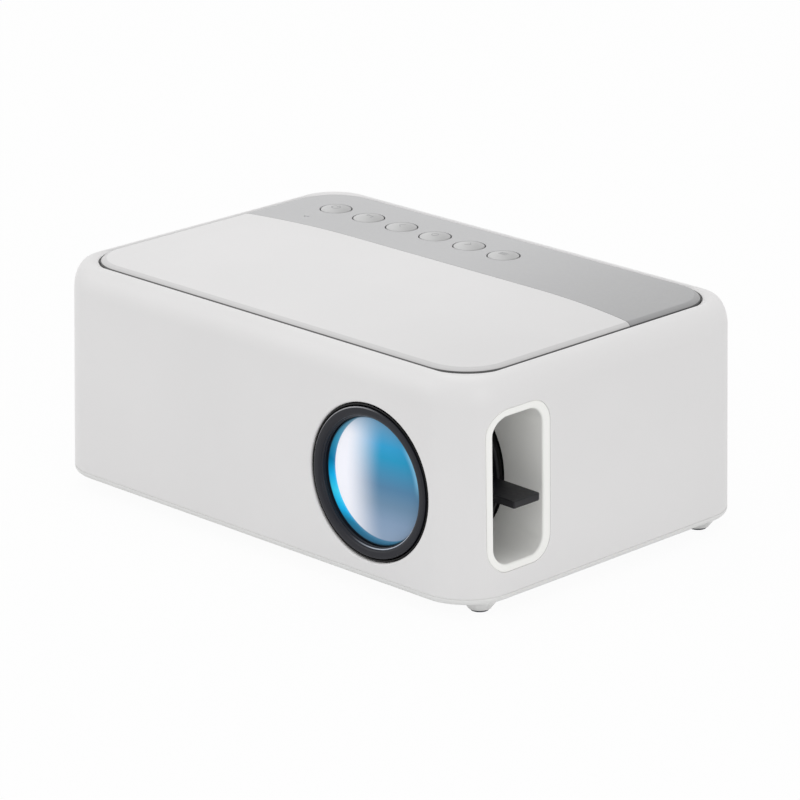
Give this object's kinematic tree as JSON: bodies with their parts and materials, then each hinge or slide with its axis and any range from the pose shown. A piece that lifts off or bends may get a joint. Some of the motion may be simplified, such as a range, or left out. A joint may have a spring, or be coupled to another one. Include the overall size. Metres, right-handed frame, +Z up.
{
  "type": "pico projector",
  "caption": "Palm-size video projector: rounded white casing on four feet, grey button strip, front lens and a focus lever in a side window.",
  "frame": {"origin": "on the surface it stands on, under the middle of the casing", "axes": "+Z up, the lens looks along -Y, the focus lever is on the +X side"},
  "size_m": [0.1342, 0.0914, 0.0545],
  "materials": {
    "white_shell": "fine satin moulding",
    "white_cover": "satin",
    "grey_panel": "fine satin moulding",
    "grey_button": "satin",
    "light_pipe": "clear gloss",
    "circuit_board": "solder mask",
    "brass_bush": "turned",
    "black_gloss": "gloss",
    "dark_ring": "satin",
    "lens_glass": "blue coated",
    "inner_black": "matte",
    "black_plastic": "satin",
    "white_holder": "matte",
    "clear_sheet": "clear",
    "panel_glass": "polished",
    "mirror_silver": "silvered",
    "lamp_yellow": "phosphor",
    "sink_aluminium": "extruded",
    "screw_steel": "plated",
    "socket_steel": "plated",
    "dark_rubber": "matte"
  },
  "bodies": {
    "casing": {"upper_shell": "white_shell", "base_cover": "white_cover", "top_plate": "white_shell", "button_panel": "grey_panel", "window_liner": "white_cover", "foot_pad_1": "dark_rubber", "foot_pad_2": "dark_rubber", "foot_pad_3": "dark_rubber", "foot_pad_4": "dark_rubber", "case_screw_1": "screw_steel", "case_screw_2": "screw_steel", "case_screw_3": "screw_steel", "case_screw_4": "screw_steel", "tripod_bush": "brass_bush", "indicator_light_pipe": "light_pipe", "button_board": "circuit_board", "tact_switch_1": "black_plastic", "tact_switch_2": "black_plastic", "tact_switch_3": "black_plastic", "tact_switch_4": "black_plastic", "tact_switch_5": "black_plastic", "tact_switch_6": "black_plastic", "board_screw_1": "screw_steel", "board_screw_2": "screw_steel", "lens_bezel": "black_gloss", "lens_mount": "inner_black", "light_engine_housing": "inner_black", "light_engine_cover": "inner_black", "condenser_holder": "white_holder", "condenser_lens": "lens_glass", "collimating_sheet": "clear_sheet", "display_panel": "panel_glass", "field_sheet": "clear_sheet", "fold_mirror": "mirror_silver", "led_lamp": "lamp_yellow", "heat_sink": "sink_aluminium", "fan_frame": "black_plastic", "main_board": "circuit_board", "board_screw_3": "screw_steel", "board_screw_4": "screw_steel", "dc_inlet": "black_plastic", "hdmi_socket": "socket_steel", "usb_socket": "socket_steel", "av_jack": "black_plastic", "card_slot": "socket_steel", "speaker": "black_plastic"},
    "focus_ring": {"focus_ring": "black_plastic"},
    "lens_cell": {"lens_cell": "dark_ring", "front_glass": "lens_glass", "rear_glass": "lens_glass"},
    "fan_rotor": {"fan_rotor": "black_plastic"},
    "button_1": {"button_1": "grey_button"},
    "button_2": {"button_2": "grey_button"},
    "button_3": {"button_3": "grey_button"},
    "button_4": {"button_4": "grey_button"},
    "button_5": {"button_5": "grey_button"},
    "button_6": {"button_6": "grey_button"}
  },
  "joints": [
    {"name": "button_1_press", "type": "slide", "parent": "casing", "child": "button_1", "axis": [0, 0, -1], "range_m": [0, 0.0006], "stiffness_N_per_m": 900, "springref_m": -0.0003},
    {"name": "button_2_press", "type": "slide", "parent": "casing", "child": "button_2", "axis": [0, 0, -1], "range_m": [0, 0.0006], "stiffness_N_per_m": 900, "springref_m": -0.0003},
    {"name": "button_3_press", "type": "slide", "parent": "casing", "child": "button_3", "axis": [0, 0, -1], "range_m": [0, 0.0006], "stiffness_N_per_m": 900, "springref_m": -0.0003},
    {"name": "button_4_press", "type": "slide", "parent": "casing", "child": "button_4", "axis": [0, 0, -1], "range_m": [0, 0.0006], "stiffness_N_per_m": 900, "springref_m": -0.0003},
    {"name": "button_5_press", "type": "slide", "parent": "casing", "child": "button_5", "axis": [0, 0, -1], "range_m": [0, 0.0006], "stiffness_N_per_m": 900, "springref_m": -0.0003},
    {"name": "button_6_press", "type": "slide", "parent": "casing", "child": "button_6", "axis": [0, 0, -1], "range_m": [0, 0.0006], "stiffness_N_per_m": 900, "springref_m": -0.0003},
    {"name": "focus_turn", "type": "hinge", "parent": "casing", "child": "focus_ring", "pos_m": [0.0366, -0.04537, 0.0252], "axis": [0, 1, 0], "range_deg": [-35, 20]},
    {"name": "lens_slide", "type": "slide", "parent": "casing", "child": "lens_cell", "axis": [0, 1, 0], "range_m": [-0.00146, 0.00084]},
    {"name": "fan_spin", "type": "hinge", "parent": "casing", "child": "fan_rotor", "pos_m": [-0.06115, 0.00494, 0.0245], "axis": [1, 0, 0], "continuous": true}
  ],
  "couplings": [
    {"joint": "focus_turn", "follows": "lens_slide", "rad_per_m": 416.67}
  ]
}
